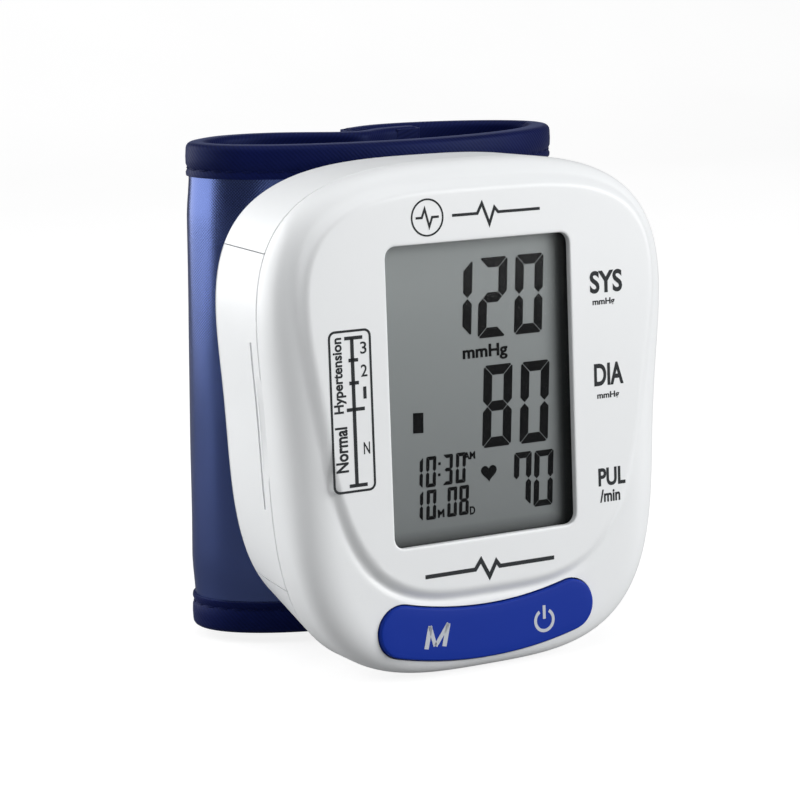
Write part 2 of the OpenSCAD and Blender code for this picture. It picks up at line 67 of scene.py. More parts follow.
SIDE_STRAIGHT, FOOT_STRAIGHT, FOOT_EDGE = 0.05, 0.5, 0.55
RIM, RIM_POWER = 6.0, 2.4
PLATEAU_W, PLATEAU_H, PLATEAU_POWER, PLATEAU_TAPER = 27.9, 29.3, 3.6, 0.183
STRIP_W, STRIP_X, STRIP_Z, STRIP_R, STRIP_HALF = 7.6, -0.9, 5.9, 60.0, math.radians(13.9)
DOOR_Z, DOOR_EDGE_X, DOOR_GAP, DOOR_WALL, DOOR_BACK = (13.5, 61.8), -24.6, 0.15, 1.6, 1.6
CASE_SCREWS = ((-14, 13.9), (17.5, 14.2), (-22.5, 65.6), (22.5, 65.6))
CELL_Z, CELL_H = 17.9, 43.7
PRINT_DEPTH, MARK_DEPTH, SEGMENT_DEPTH, DIGIT_LEAN = -0.03, 0.14, 2.16, 0.06
SHEET_IN, SHEET_THICK, PATCH_THICK = 0.5, 0.5, 0.5
HEM_H, HEM_INNER, HEM_TAPE = 4.6, 4.4, 0.42
STITCH_IN, STITCH_DEPTH, STITCH_PITCH, STITCH_LONG, STITCH_R = 3.5, 0.12, 2.3, 1.5, 0.15
FLOOR_Z, BACKDROP_R = -0.3, 300
TURN = 288          # points round each ring of the case
CASE_SHARP = 38     # degrees: steeper edges of the case stay sharp


# ---------------------------------------------------------------- camera first
def place_camera():
    az, el, roll = math.radians(31.0), math.radians(11.14), math.radians(-0.15)
    view = Vector((math.sin(az) * math.cos(el), math.cos(az) * math.cos(el), -math.sin(el)))
    right = Vector((math.cos(az), -math.sin(az), 0))
    up = right.cross(view)
    r = right * math.cos(roll) + up * math.sin(roll)
    u = -right * math.sin(roll) + up * math.cos(roll)
    eye = Vector((-3.61, -5.03, 36.62)) / 1000 - view * 0.42608
    data = bpy.data.cameras.new("camera")
    data.lens, data.sensor_width, data.clip_start = 129.74, 36, 0.01
    cam = bpy.data.objects.new("camera", data)
    cam.matrix_world = Matrix.Translation(eye) @ Matrix((r, u, -view)).transposed().to_4x4()
    bpy.context.scene.collection.objects.link(cam)
    bpy.context.scene.camera = cam


place_camera()


# ---------------------------------------------------------------- node helpers
def new_material(name):
    m = bpy.data.materials.new(name)
    m.use_nodes = True
    nt = m.node_tree
    return m, nt, nt.nodes["Principled BSDF"]


def coords(nt, scale, kind="Object"):
    c = nt.nodes.new("ShaderNodeTexCoord")
    s = nt.nodes.new("ShaderNodeMapping")
    s.inputs["Scale"].default_value = scale if isinstance(scale, tuple) else (scale,) * 3
    nt.links.new(c.outputs[kind], s.inputs["Vector"])
    return s.outputs["Vector"]


def noise_node(nt, vec, scale, detail=3.0, rough=0.55):
    n = nt.nodes.new("ShaderNodeTexNoise")
    n.inputs["Scale"].default_value = scale
    n.inputs["Detail"].default_value = detail
    n.inputs["Roughness"].default_value = rough
    nt.links.new(vec, n.inputs["Vector"])
    return n.outputs["Fac"]


def ramp(nt, fac, stops):
    r = nt.nodes.new("ShaderNodeValToRGB")
    els = r.color_ramp.elements
    while len(els) < len(stops):
        els.new(0.5)
    for e, (p, c) in zip(els, stops):
        e.position = p
        e.color = (*c, 1)
    nt.links.new(fac, r.inputs["Fac"])
    return r.outputs["Color"]


def to_range(nt, fac, lo, hi):
    """Maps 0 to 1 onto lo to hi."""
    r = nt.nodes.new("ShaderNodeMapRange")
    r.inputs["To Min"].default_value = lo
    r.inputs["To Max"].default_value = hi
    nt.links.new(fac, r.inputs["Value"])
    return r.outputs["Result"]


def from_range(nt, fac, lo, hi):
    """Maps lo to hi onto 0 to 1."""
    r = nt.nodes.new("ShaderNodeMapRange")
    r.inputs["From Min"].default_value = lo
    r.inputs["From Max"].default_value = hi
    nt.links.new(fac, r.inputs["Value"])
    return r.outputs["Result"]


def bump(nt, height, bsdf, strength, distance):
    b = nt.nodes.new("ShaderNodeBump")
    b.inputs["Strength"].default_value = strength
    b.inputs["Distance"].default_value = distance
    nt.links.new(height, b.inputs["Height"])
    nt.links.new(b.outputs["Normal"], bsdf.inputs["Normal"])


def math_node(nt, op, a, b=0):
    m = nt.nodes.new("ShaderNodeMath")
    m.operation = op
    for i, v in enumerate((a, b)):
        if isinstance(v, (int, float)):
            m.inputs[i].default_value = v
        else:
            nt.links.new(v, m.inputs[i])
    return m.outputs[0]


def tint(c, k):
    """A colour made lighter or darker by a factor."""
    return tuple(min(1.0, v * k) for v in c)


def plastic(name, color, rough, grain=900.0, depth=0.00002, vary=0.03, coat=0.0, spec=0.5):
    m, nt, b = new_material(name)
    v = coords(nt, 1.0)
    broad = noise_node(nt, v, 35.0, 4.0)
    fine = noise_node(nt, v, grain, 2.0)
    nt.links.new(ramp(nt, broad, [(0.3, tint(color, 1 - vary)), (0.7, tint(color, 1 + vary / 2))]),
                 b.inputs["Base Color"])
    nt.links.new(to_range(nt, noise_node(nt, v, 140.0, 5.0), rough - 0.05, rough + 0.06),
                 b.inputs["Roughness"])
    b.inputs["Specular IOR Level"].default_value = spec
    b.inputs["Coat Weight"].default_value = coat
    b.inputs["Coat Roughness"].default_value = 0.12
    bump(nt, fine, b, 0.25, depth)
    return m


def metal(name, color, rough):
    m, nt, b = new_material(name)
    v = coords(nt, (1.0, 1.0, 0.06))
    brushed = noise_node(nt, v, 2600.0, 2.0)
    b.inputs["Metallic"].default_value = 1.0
    nt.links.new(ramp(nt, brushed, [(0.2, tint(color, 0.85)), (0.8, tint(color, 1.05))]),
                 b.inputs["Base Color"])
    nt.links.new(to_range(nt, brushed, rough - 0.06, rough + 0.08), b.inputs["Roughness"])
    bump(nt, brushed, b, 0.2, 0.00002)
    return m


def fabric(name, color, rough, pitch, depth, sheen, kind="weave", spec=0.3, ior=1.5):
    """Cloth whose threads follow the sheet's own length and height, in mm."""
    m, nt, b = new_material(name)
    v = coords(nt, 1.0, "UV")
    sep = nt.nodes.new("ShaderNodeSeparateXYZ")
    nt.links.new(v, sep.inputs[0])

    def wave(along):
        return math_node(nt, "SINE", math_node(nt, "MULTIPLY", along, 2 * math.pi / pitch))

    if kind == "twill":
        cell = wave(math_node(nt, "ADD", sep.outputs[0], sep.outputs[1]))
    else:
        cell = math_node(nt, "MULTIPLY", wave(sep.outputs[0]), wave(sep.outputs[1]))
    w = coords(nt, 1.0)
    pile = noise_node(nt, w, 2600.0 if kind == "pile" else 1400.0, 3.0, 0.7)
    height = math_node(nt, "ADD", math_node(nt, "MULTIPLY", cell, 0.5),
                       math_node(nt, "MULTIPLY", pile, 3.0 if kind == "pile" else 0.6))
    broad = noise_node(nt, w, 60.0, 4.0)
    shade = math_node(nt, "ADD", math_node(nt, "MULTIPLY", broad, 0.7),
                      math_node(nt, "MULTIPLY", cell, 0.12))
    nt.links.new(ramp(nt, shade, [(0.15, tint(color, 0.7)), (0.6, tint(color, 1.3))]),
                 b.inputs["Base Color"])
    nt.links.new(to_range(nt, broad, rough - 0.06, rough + 0.06), b.inputs["Roughness"])
    b.inputs["Sheen Weight"].default_value = sheen
    b.inputs["Sheen Roughness"].default_value = 0.3
    b.inputs["Sheen Tint"].default_value = (0.45, 0.55, 1.0, 1)
    b.inputs["Specular IOR Level"].default_value = spec
    b.inputs["Specular Tint"].default_value = (0.30, 0.42, 1.0, 1)
    b.inputs["IOR"].default_value = ior
    bump(nt, height, b, 0.35, depth)
    return m


MAT = {
    "case_white": plastic("case_white_abs", (0.80, 0.815, 0.825), 0.38, coat=0.08, vary=0.008),
    "button_blue": plastic("button_blue_abs", (0.004, 0.029, 0.30), 0.5, grain=1400.0, spec=0.12),
    "inner_plastic": plastic("natural_plastic", (0.62, 0.60, 0.54), 0.5),
    "board_green": plastic("solder_mask", (0.010, 0.11, 0.045), 0.35, grain=500.0, vary=0.15, coat=0.4),
    "black_parts": plastic("black_moulding", (0.012, 0.012, 0.013), 0.45, vary=0.2),
    "bright_steel": metal("plated_steel", (0.62, 0.61, 0.58), 0.3),
    "foam_grey": plastic("grey_foam", (0.06, 0.06, 0.06), 0.9, grain=700.0, depth=0.0003, vary=0.3),
    "grey_rubber": plastic("grey_rubber", (0.05, 0.055, 0.07), 0.6, vary=0.15),
    "hose_rubber": plastic("silicone_hose", (0.6, 0.6, 0.55), 0.45, vary=0.05),
    "cell_jacket": plastic("cell_jacket_film", (0.02, 0.09, 0.05), 0.28, vary=0.2, coat=0.5),
    "wire_red": plastic("wire_insulation", (0.35, 0.015, 0.012), 0.4, vary=0.15),
    "cuff_navy": fabric("navy_satin_nylon", (0.0009, 0.0024, 0.024), 0.24, 0.45, 0.00003, 0.0,
                        spec=0.8, ior=2.2),
    "cuff_lining": fabric("brushed_lining", (0.0022, 0.004, 0.028), 0.85, 0.6, 0.00015, 0.04, "pile",
                          spec=0.15),
    "cuff_binding": fabric("hem_tape", (0.0030, 0.0055, 0.046), 0.5, 0.7, 0.00005, 0.12, "twill",
                           spec=0.16),
    "cuff_foam": fabric("spacer_foam", (0.03, 0.04, 0.08), 0.9, 0.8, 0.0002, 0.1, "pile"),
    "fastener_pile": fabric("hook_and_loop", (0.010, 0.012, 0.035), 0.9, 0.9, 0.0004, 0.3, "pile"),
    "thread": fabric("sewing_thread", (0.003, 0.0055, 0.045), 0.5, 0.3, 0.00005, 0.05, "twill",
                     spec=0.2),
    "ink": plastic("printed_ink", (0.026, 0.029, 0.032), 0.6, grain=2500.0, vary=0.1, spec=0.15),
    "ink_light": plastic("light_ink", (0.50, 0.53, 0.58), 0.5, grain=2500.0, vary=0.05),
    "segment": plastic("liquid_crystal_on", (0.003, 0.0034, 0.004), 0.6, grain=2500.0, vary=0.1,
                       spec=0.05),
}


def lens_material():
    m, nt, b = new_material("clear_acrylic")
    v = coords(nt, 1.0)
    nt.links.new(ramp(nt, noise_node(nt, v, 20.0), [(0.3, (0.02, 0.022, 0.022)),
                                                    (0.7, (0.03, 0.032, 0.032))]),
                 b.inputs["Base Color"])
    nt.links.new(to_range(nt, noise_node(nt, v, 60.0, 5.0), 0.05, 0.12), b.inputs["Roughness"])
    b.inputs["Alpha"].default_value = 0.035
    b.inputs["Specular IOR Level"].default_value = 0.5
    return m


def lcd_material():
    """Reflective display glass with a fine grain: lighter towards the top, and dark along its
    right and foot edges, where the window's frame shades it. Heights and widths are in metres."""
    m, nt, b = new_material("reflective_lcd")
    sep = nt.nodes.new("ShaderNodeSeparateXYZ")
    nt.links.new(coords(nt, 1.0), sep.inputs[0])
    up = from_range(nt, sep.outputs[2], 0.019, 0.064)
    grain = noise_node(nt, coords(nt, 1.0), 1500.0, 2.0)
    speckle = math_node(nt, "MULTIPLY", math_node(nt, "SUBTRACT", grain, 0.5), 0.03)
    fac = math_node(nt, "ADD", up, speckle)
    glass = ramp(nt, fac, [(0.0, (0.135, 0.150, 0.152)), (0.12, (0.165, 0.182, 0.184)),
                           (1.0, (0.262, 0.288, 0.288))])
    side = from_range(nt, sep.outputs[0], 0.0112, 0.0142)
    foot = from_range(nt, sep.outputs[2], 0.0215, 0.0190)
    shade = math_node(nt, "MAXIMUM", math_node(nt, "MULTIPLY", side, side), foot)
    mix = nt.nodes.new("ShaderNodeMix")
    mix.data_type = "RGBA"
    nt.links.new(math_node(nt, "MULTIPLY", shade, 0.9), mix.inputs["Factor"])
    nt.links.new(glass, mix.inputs[6])
    mix.inputs[7].default_value = (0.012, 0.015, 0.015, 1)
    nt.links.new(mix.outputs[2], b.inputs["Base Color"])
    b.inputs["Roughness"].default_value = 0.5
    return m


MAT["clear_lens"] = lens_material()
MAT["lcd_grey"] = lcd_material()


# ---------------------------------------------------------------- mesh helpers
def make_object(name, verts, faces, material, angle=35.0, uv=None):
    """A mesh object from points in mm. Edges steeper than angle, in degrees, stay sharp."""
    mesh = bpy.data.meshes.new(name)
    mesh.from_pydata((np.asarray(verts, float) / 1000).tolist(), [],
                     [tuple(int(i) for i in f) for f in faces])
    mesh.update()
    if uv is not None:
        layer = mesh.uv_layers.new(name="UVMap")
        idx = np.empty(len(mesh.loops), int)
        mesh.loops.foreach_get("vertex_index", idx)
        layer.data.foreach_set("uv", np.asarray(uv, float)[idx].ravel())
    obj = bpy.data.objects.new(name, mesh)
    bpy.context.scene.collection.objects.link(obj)
    mesh.materials.append(MAT[material])
    bm = bmesh.new()
    bm.from_mesh(mesh)
    bmesh.ops.recalc_face_normals(bm, faces=bm.faces)
    bm.to_mesh(mesh)
    bm.free()
    smooth(obj, angle)
    return obj


def smooth(obj, angle):
    obj.data.shade_smooth()
    obj.data.set_sharp_from_angle(angle=math.radians(angle))


def ring_faces(n, m, closed_rings=False):
    """Quads between m rings of n points each."""
    faces = []
    for j in range(m if closed_rings else m - 1):
        a, b = j * n, ((j + 1) % m) * n
        for i in range(n):
            k = (i + 1) % n
            faces.append((a + i, a + k, b + k, b + i))
    return faces


def loft(name, rings, material, closed_rings=False, angle=35.0):
    """A skin over the rings, capped at both ends unless the rings close on themselves."""
    n, m = len(rings[0]), len(rings)
    faces = ring_faces(n, m, closed_rings)
    if not closed_rings:
        faces.append(tuple(range(n)))
        faces.append(tuple(range((m - 1) * n, m * n)))
    return make_object(name, np.concatenate(rings), faces, material, angle)


def block(lo, hi):
    v = [(x, y, z) for x in (lo[0], hi[0]) for y in (lo[1], hi[1]) for z in (lo[2], hi[2])]
    f = [(0, 1, 3, 2), (4, 6, 7, 5), (0, 4, 5, 1), (2, 3, 7, 6), (0, 2, 6, 4), (1, 5, 7, 3)]
    return make_object("cutter", v, f, "case_white")


def rod_cutter(x, z, y0, y1, r):
    t = np.linspace(0, 2 * np.pi, 40, endpoint=False)
    rings = [np.stack([x + r * np.cos(t), np.full(len(t), y), z + r * np.sin(t)], 1) for y in (y0, y1)]
    return loft("cutter", rings, "case_white")


def boolean(obj, cutter, operation):
    mod = obj.modifiers.new("cut", "BOOLEAN")
    mod.operation, mod.object, mod.solver = operation, cutter, "EXACT"
    bpy.context.view_layer.update()
    mesh = bpy.data.meshes.new_from_object(obj.evaluated_get(bpy.context.evaluated_depsgraph_get()))
    obj.modifiers.clear()
    obj.data = mesh
    bpy.data.objects.remove(cutter)


def join(obj, others):
    bm = bmesh.new()
    bm.from_mesh(obj.data)
    for o in others:
        bm.from_mesh(o.data)
        bpy.data.objects.remove(o)
    bm.to_mesh(obj.data)
    bm.free()


def finish_piece(obj, body, slot, *nodes):
    """Hides the CAD nodes that a rigid piece stands for and attaches the piece to the body it rides on;
    slot is not used.
    """
    if nodes:
        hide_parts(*nodes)
    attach(obj, body)
    return obj


# ---------------------------------------------------------------- case shapes
def face_y(z):
    return FACE_FOOT + z * math.tan(LEAN)


def on_face(p):
    """Points (x, depth behind the face, height along the face) to the object's frame."""
    p = np.asarray(p, float).reshape(-1, 3)
    return np.stack([p[:, 0], FACE_FOOT + p[:, 1] * math.cos(LEAN) + p[:, 2] * math.sin(LEAN),
                     p[:, 2] * math.cos(LEAN) - p[:, 1] * math.sin(LEAN)], 1)


ANGLES = np.linspace(0, 2 * np.pi, TURN, endpoint=False)


def blob(a, b_top, b_foot, c, taper, spread, p_top, p_foot):
    """A superellipse with its own half height and power above and below c, wider at the top."""
    t = ANGLES
    p = np.where(np.sin(t) >= 0, p_top, p_foot)
    b = np.where(np.sin(t) >= 0, b_top, b_foot)
    r = ((np.abs(np.cos(t)) / a) ** p + (np.abs(np.sin(t)) / b) ** p) ** (-1 / p)
    z = r * np.sin(t)
    u = 2 * z / (b_top + b_foot)
    return r * np.cos(t) * (1 + taper * u + spread * u * u), z + c


def case_outline(inset=0.0, back=0.0, edge=0.0):
    """The case seen from the front. back runs from 0 at the seam to 1 at the rear."""
    x, z = blob(CASE_W / 2 - inset - edge - DRAFT[0] * back,
                CASE_H - WIDEST_Z - inset - edge - DRAFT[1] * back,
                WIDEST_Z + FOOT_FLAT - inset - edge * FOOT_EDGE - DRAFT[2] * back,
                WIDEST_Z, TAPER, SPREAD, TOP_POWER, FOOT_POWER)
    return x, np.maximum(z, 0)


def ease(t):
    t = np.clip(t, 0, 1)
    return t * t * (3 - 2 * t)


def outside_plateau(x, z):
    """About how far, in mm, a point of the face lies outside the raised plateau."""
    def radius(x, z):
        u = (z - WINDOW_Z) / PLATEAU_H
        v = x / (1 + PLATEAU_TAPER * u) / PLATEAU_W
        return (np.abs(v) ** PLATEAU_POWER + np.abs(u) ** PLATEAU_POWER) ** (1 / PLATEAU_POWER) + 1e-9

    r, step = radius(x, z), 0.05
    slope = np.hypot((radius(x + step, z) - r) / step, (radius(x, z + step) - r) / step) + 1e-6
    return (r - 1) / slope


def front_depth(x, z, drop):
    """Depth behind the face plane: the rim's own drop, lifted away over the plateau,
    with a soft groove along the plateau's foot."""
    q = outside_plateau(x, z)
    lifted = drop * ease((q + 1.0) / 1.7)
    groove = 0.22 * np.exp(-((q - 0.7) / 0.55) ** 2) * ease((26 - z) / 14)
    return lifted + groove


def rounded_rect(cx, cz, w, h, r, ox, oz):
    """For each direction from the centre to (ox, oz), the point on a rounded rectangle."""
    dx, dz = ox - cx, oz - cz
    out = []
    for ux, uz in zip(dx / np.hypot(dx, dz), dz / np.hypot(dx, dz)):
        lo, hi = 0.0, w + h
        for _ in range(40):
            k = (lo + hi) / 2
            px, pz = abs(ux) * k - (w / 2 - r), abs(uz) * k - (h / 2 - r)
            d = math.hypot(max(px, 0), max(pz, 0)) + min(max(px, pz), 0) - r
            lo, hi = (k, hi) if d < 0 else (lo, k)
        out.append((cx + ux * lo, cz + uz * lo))
    return np.array(out)


def build_front_cover():
    """One closed skin: seam, rounded rim, face, window edge, and back along the inside."""
    lip, rim_steps, face_steps = 0.16, 26, 52
    foot = ease((-np.sin(ANGLES) - 0.2) / 0.6)
    start = SIDE_STRAIGHT + (FOOT_STRAIGHT - SIDE_STRAIGHT) * foot
    rings = []

    def at_seam(inset, y):
        x, z = case_outline(inset)
        rings.append(np.stack([x, np.full(TURN, y), z], 1))

    at_seam(lip, SEAM_Y - 0.02)
    at_seam(0.0, SEAM_Y - lip)
    for k in range(1, rim_steps + 1):
        th = math.pi / 2 * k / rim_steps
        e = RIM * (1 - math.cos(th) ** (2 / RIM_POWER))
        s = math.sin(th) ** (2 / RIM_POWER)
        x, z = case_outline(0, 0, e)
        f = start + (1 - start) * s
        full = face_y(z) + BASE_DROP - (SEAM_Y - lip)
        drop = BASE_DROP - full * (1 - f)
        rings.append(np.stack([x, face_y(z) + front_depth(x, z, drop), z], 1))
    ox, oz = case_outline(0, 0, RIM)
    edge = rounded_rect(WINDOW_X, WINDOW_Z, WINDOW_W + 0.5, WINDOW_H + 0.5, 1.85, ox, oz)
    for k in range(1, face_steps + 1):
        x = ox + (edge[:, 0] - ox) * k / face_steps
        z = oz + (edge[:, 1] - oz) * k / face_steps
        rings.append(np.stack([x, face_y(z) + front_depth(x, z, BASE_DROP), z], 1))

    def at_window(grow, r, depth):
        w = rounded_rect(WINDOW_X, WINDOW_Z, WINDOW_W + 2 * grow, WINDOW_H + 2 * grow, r, ox, oz)
        rings.append(on_face(np.stack([w[:, 0], np.full(TURN, depth), w[:, 1]], 1)))

    for g, d in ((0.12, 0.03), (0.03, 0.12), (0.0, 0.25), (0.0, 0.55), (0.0, 0.86)):
        at_window(g, 1.6 + g, d)
    for g, d in ((0.3, 0.88), (1.45, 0.88), (1.45, 1.4), (1.45, 2.2)):
        at_window(g, 1.8, d)
    for inset, depth in ((6.0, 2.2), (4.8, 3.0)):
        x, z = case_outline(inset)
        rings.append(np.stack([x, face_y(z) + depth, z], 1))
    at_seam(2.0, SEAM_Y - 0.6)
    at_seam(2.0, SEAM_Y - 0.02)
    cover = loft("front_shell", rings, "case_white", closed_rings=True, angle=CASE_SHARP)
    boolean(cover, strip_solid("cutter", 0.2, -3.0, 3.4, round_edge=0.0), "DIFFERENCE")
    smooth(cover, CASE_SHARP)
    return finish_piece(cover, "case", "case_white", "front_cover")


def strip_outline(grow):
    """The arc band with round ends, counter-clockwise, as (x, height)."""
    n_side, n_cap = 72, 28
    h = STRIP_W / 2 + grow
    cz = STRIP_Z + STRIP_R
    pts = []
    for k in range(n_side):
        a = -STRIP_HALF + 2 * STRIP_HALF * k / n_side
        pts.append(((STRIP_R + h) * math.sin(a), cz - (STRIP_R + h) * math.cos(a)))
    for side, order in ((1, 1), (-1, -1)):
        c = (side * STRIP_R * math.sin(STRIP_HALF), cz - STRIP_R * math.cos(STRIP_HALF))
        first = STRIP_HALF - math.pi / 2 if side > 0 else math.pi / 2 - STRIP_HALF
        for k in range(n_cap):
            a = first + math.pi * k / n_cap
            pts.append((c[0] + h * math.cos(a), c[1] + h * math.sin(a)))
        if side > 0:
            for k in range(n_side):
                a = STRIP_HALF - 2 * STRIP_HALF * k / n_side
                pts.append(((STRIP_R - h) * math.sin(a), cz - (STRIP_R - h) * math.cos(a)))
    return np.array(pts) + (STRIP_X, 0)


def strip_solid(name, grow, d0, d1, round_edge=0.35):
    """The button strip between two depths behind the face, or the cutter for its opening."""
    rings = []
    base = strip_outline(grow)
    rings.append(on_face(np.stack([base[:, 0], np.full(len(base), d1), base[:, 1]], 1)))
    if round_edge:
        for k in range(7):
            a = math.pi / 2 * k / 6
            o = strip_outline(grow - round_edge * (1 - math.cos(a)))
            d = d0 + round_edge * (1 - math.sin(a))
            rings.append(on_face(np.stack([o[:, 0], np.full(len(o), d), o[:, 1]], 1)))
        o = strip_outline(grow - 1.6)
        rings.append(on_face(np.stack([o[:, 0], np.full(len(o), d0 - 0.03), o[:, 1]], 1)))
    else:
        rings.append(on_face(np.stack([base[:, 0], np.full(len(base), d0), base[:, 1]], 1)))
    return loft(name, rings, "button_blue", angle=30)


def build_button():
    strip = strip_solid("button_bar", 0.0, 0.2, 1.75)
    return finish_piece(strip, "button", "button_blue", "button_strip")


def rear_ring(y, inset):
    """The rear case's outline at depth y: it narrows towards the back."""
    x, z = case_outline(inset, (y - SEAM_Y) / REAR_D)
    return np.stack([x, np.full(TURN, y), z], 1)


def rear_solid(name):
    """The rear case's outer form, solid: the shell and the battery door are both cut from it."""
    r = 1.8
    rings = [rear_ring(SEAM_Y + 0.04, 0.16), rear_ring(SEAM_Y + 0.2, 0)]
    for k in range(1, 11):
        rings.append(rear_ring(SEAM_Y + 0.2 + (REAR_D - 2.0) * k / 10, 0))
    for k in range(1, 9):
        a = math.pi / 2 * k / 8
        rings.append(rear_ring(BACK_Y - r + r * math.sin(a), r * (1 - math.cos(a))))
    rings.append(rear_ring(BACK_Y, 2.6))
    return loft(name, rings, "case_white", angle=CASE_SHARP)


def rear_hollow(inset, y):
    return loft("cutter", [rear_ring(y, inset), rear_ring(SEAM_Y - 1, inset)], "case_white")


def build_rear_case():
    shell = rear_solid("rear_shell")
    boolean(shell, rear_hollow(WALL, BAY_Y), "DIFFERENCE")
    boolean(shell, block((-50, SEAM_Y - 2, DOOR_Z[0] - DOOR_GAP),
                         (DOOR_EDGE_X + DOOR_GAP, BACK_Y - DOOR_BACK + DOOR_GAP, DOOR_Z[1] + DOOR_GAP)),
            "DIFFERENCE")
    for x, z in CASE_SCREWS:
        boolean(shell, rod_cutter(x, z, BACK_Y - 1.9, BACK_Y + 1, 2.1), "DIFFERENCE")
    # the battery bay's inner wall, foot wall and top wall
    front, foot, top = BAY_Y - 8.4, CELL_Z - 2.6, CELL_Z + CELL_H + 1.5
    walls = [block((-6.0, front, foot), (-5.0, BAY_Y + 0.2, top + 0.8)),
             block((-25.5, front, foot), (-5.5, BAY_Y + 0.2, foot + 0.8)),
             block((-25.5, front, top), (-5.5, BAY_Y + 0.2, top + 0.8))]
    join(shell, walls)
    smooth(shell, CASE_SHARP)
    return finish_piece(shell, "case", "case_white", "rear_case")


def flank_x(z, y):
    """The x of the case's left flank at a height and depth."""
    ring = rear_ring(y, 0)
    left = ring[ring[:, 0] < 0]
    order = np.argsort(left[:, 2])
    return float(np.interp(z, left[order, 2], left[order, 0]))


def flank_cutter(z0, z1, y0, y1, depth, far, taper):
    """A long shallow cut into the door's flank: a slit, or a notch that dies out away from the
    seam. far is its depth at y1 as a share of that at y0."""
    rings, steps = [], 24
    for k in range(steps + 1):
        z = z0 + (z1 - z0) * k / steps
        cut = depth * math.sin(math.pi * (0.02 + 0.96 * k / steps)) ** taper
        rings.append(np.array([[flank_x(z, y0) - 0.8, y0, z], [flank_x(z, y0) + cut, y0, z],
                               [flank_x(z, y1) + cut * far, y1, z], [flank_x(z, y1) - 0.8, y1, z]]))
    return loft("cutter", rings, "case_white")


def build_door():
    door = rear_solid("battery_cover")
    boolean(door, rear_hollow(DOOR_WALL, BACK_Y + 1), "DIFFERENCE")
    boolean(door, block((-50, SEAM_Y - 2, DOOR_Z[0]),
                        (DOOR_EDGE_X, BACK_Y - DOOR_BACK, DOOR_Z[1])), "INTERSECT")
    boolean(door, flank_cutter(25.2, 49.3, SEAM_Y + 1.85, SEAM_Y + 2.35, 0.5, 1.0, 0.1), "DIFFERENCE")
    boolean(door, flank_cutter(29.5, 44.5, SEAM_Y - 0.3, SEAM_Y + 1.35, 0.6, 0.05, 1.0), "DIFFERENCE")
    smooth(door, CASE_SHARP)
    return finish_piece(door, "door", "case_white", "battery_door")


# ---------------------------------------------------------------- print and display
def prism(name, polys, d_top, thick, material):
    """Flat polygons, as (x, height) lists, raised a little off the face."""
    verts, faces = [], []
    for poly in polys:
        n, base = len(poly), len(verts)
        verts += [(x, d_top, h) for x, h in poly] + [(x, d_top + thick, h) for x, h in poly]
        faces.append(tuple(range(base, base + n)))
        faces.append(tuple(range(base + 2 * n - 1, base + n - 1, -1)))
        for i in range(n):
            k = (i + 1) % n
            faces.append((base + i, base + n + i, base + n + k, base + k))
    return make_object(name, on_face(verts), faces, material, 30)


def stroke(points, w):
    """A poly-line of constant width as one polygon per segment, with mitred joints."""
    pts = [Vector(p) for p in points]
    left, right = [], []
    for i, p in enumerate(pts):
        a = (p - pts[i - 1]).normalized() if i else (pts[1] - p).normalized()
        b = (pts[i + 1] - p).normalized() if i < len(pts) - 1 else a
        n = Vector((-(a.y + b.y), a.x + b.x)).normalized()
        m = w / 2 / max(0.35, n.dot(Vector((-a.y, a.x))))
        left.append((p.x + n.x * m, p.y + n.y * m))
        right.append((p.x - n.x * m, p.y - n.y * m))
    return [[left[i], right[i], right[i + 1], left[i + 1]] for i in range(len(pts) - 1)]


def ring_strokes(cx, ch, r, w, a0=0.0, a1=360.0, n=40):
    a = [math.radians(a0 + (a1 - a0) * k / n) for k in range(n + 1)]
    return [[(cx + (r - w / 2) * math.cos(p), ch + (r - w / 2) * math.sin(p)),
             (cx + (r + w / 2) * math.cos(p), ch + (r + w / 2) * math.sin(p)),
             (cx + (r + w / 2) * math.cos(q), ch + (r + w / 2) * math.sin(q)),
             (cx + (r - w / 2) * math.cos(q), ch + (r - w / 2) * math.sin(q))]
            for p, q in zip(a, a[1:])]


def lettering(name, text, x, h, height, width, bold, d_top, material, turn=0.0):
    """Plain sans lettering as a thin raised mesh, centred on (x, h)."""
    curve = bpy.data.curves.new(name, "FONT")
    curve.body, curve.size, curve.align_x = text, 1.0, "CENTER"
    curve.offset = bold
    curve.resolution_u = 6
    tmp = bpy.data.objects.new(name, curve)
    bpy.context.scene.collection.objects.link(tmp)
    bpy.context.view_layer.update()
    mesh = bpy.data.meshes.new_from_object(tmp.evaluated_get(bpy.context.evaluated_depsgraph_get()))
    bpy.data.objects.remove(tmp)
    bm = bmesh.new()
    bm.from_mesh(mesh)
    bmesh.ops.remove_doubles(bm, verts=bm.verts, dist=1e-5)
    bmesh.ops.dissolve_limit(bm, angle_limit=0.01, verts=bm.verts, edges=bm.edges)
    co = np.array([v.co for v in bm.verts], float)
    lo, hi = co.min(0), co.max(0)
    kx, k = width / (hi[0] - lo[0]), height / (hi[1] - lo[1])
    ca, sa = math.cos(math.radians(turn)), math.sin(math.radians(turn))
    for v in bm.verts:
        px = (v.co.x - (lo[0] + hi[0]) / 2) * kx
        ph = (v.co.y - (lo[1] + hi[1]) / 2) * k
        v.co = Vector(on_face((x + px * ca - ph * sa, d_top, h + px * sa + ph * ca))[0] / 1000)
    normal = Vector(on_face((0, 1, 0))[0] - on_face((0, 0, 0))[0])
    made = bmesh.ops.extrude_face_region(bm, geom=list(bm.faces))
    bmesh.ops.translate(bm, vec=normal * 0.00004,
                        verts=[g for g in made["geom"] if isinstance(g, bmesh.types.BMVert)])
    bmesh.ops.recalc_face_normals(bm, faces=bm.faces)
    bm.to_mesh(mesh)
    bm.free()
    mesh.materials.clear()
    mesh.materials.append(MAT[material])
    obj = bpy.data.objects.new(name, mesh)
    bpy.context.scene.collection.objects.link(obj)
    smooth(obj, 30)
    return obj


